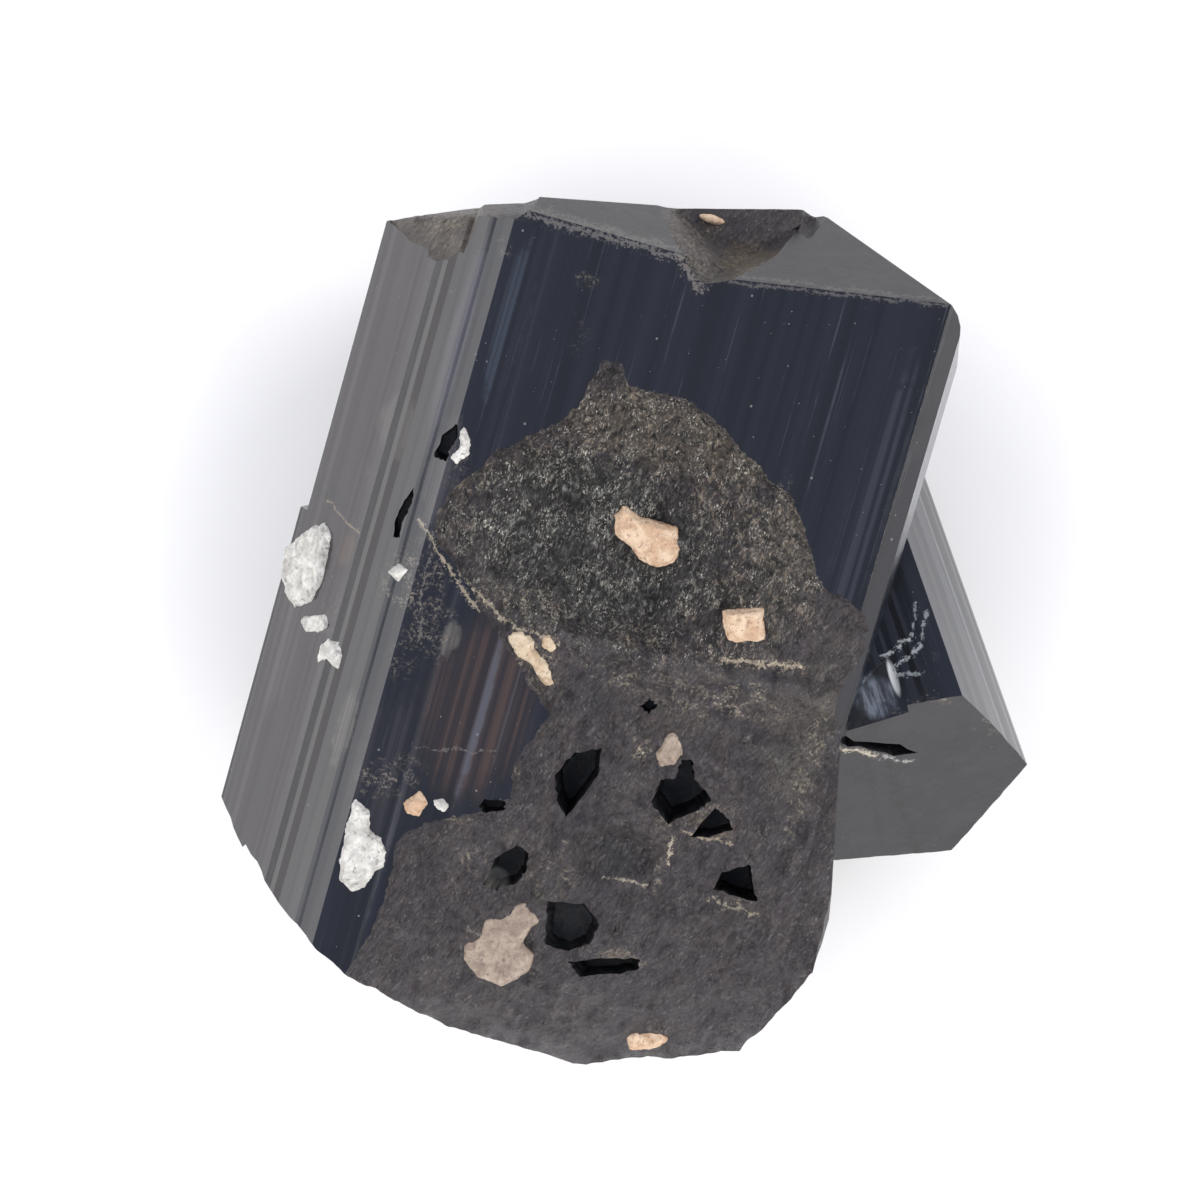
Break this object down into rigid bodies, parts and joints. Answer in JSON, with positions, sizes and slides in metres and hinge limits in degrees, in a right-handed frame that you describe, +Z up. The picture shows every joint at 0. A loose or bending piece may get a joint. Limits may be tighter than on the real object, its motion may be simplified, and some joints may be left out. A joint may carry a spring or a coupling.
{
  "type": "tourmaline crystal",
  "caption": "Stubby striated black tourmaline crystal with a broken, pitted front, a smaller crystal grown out of its side, and feldspar and mica grains set in it.",
  "frame": {"origin": "middle of the outline seen from above, on the table", "axes": "+Z up out of the largest prism face, +Y along the crystal toward its capped end"},
  "size_m": [0.071, 0.0758, 0.0384],
  "materials": {
    "tourmaline": "glassy black with lengthwise striations, dull where broken",
    "feldspar": "matt, pale pink",
    "mica": "silky, greyish white"
  },
  "bodies": {
    "root": {"tourmaline": "tourmaline", "feldspar_1": "feldspar", "feldspar_2": "feldspar", "feldspar_3": "feldspar", "feldspar_4": "feldspar", "feldspar_5": "feldspar", "feldspar_6": "feldspar", "feldspar_7": "feldspar", "feldspar_8": "feldspar", "feldspar_9": "feldspar", "mica_1": "mica", "mica_2": "mica", "mica_3": "mica", "mica_4": "mica", "mica_5": "mica", "mica_6": "mica", "mica_7": "mica"}
  },
  "joints": []
}
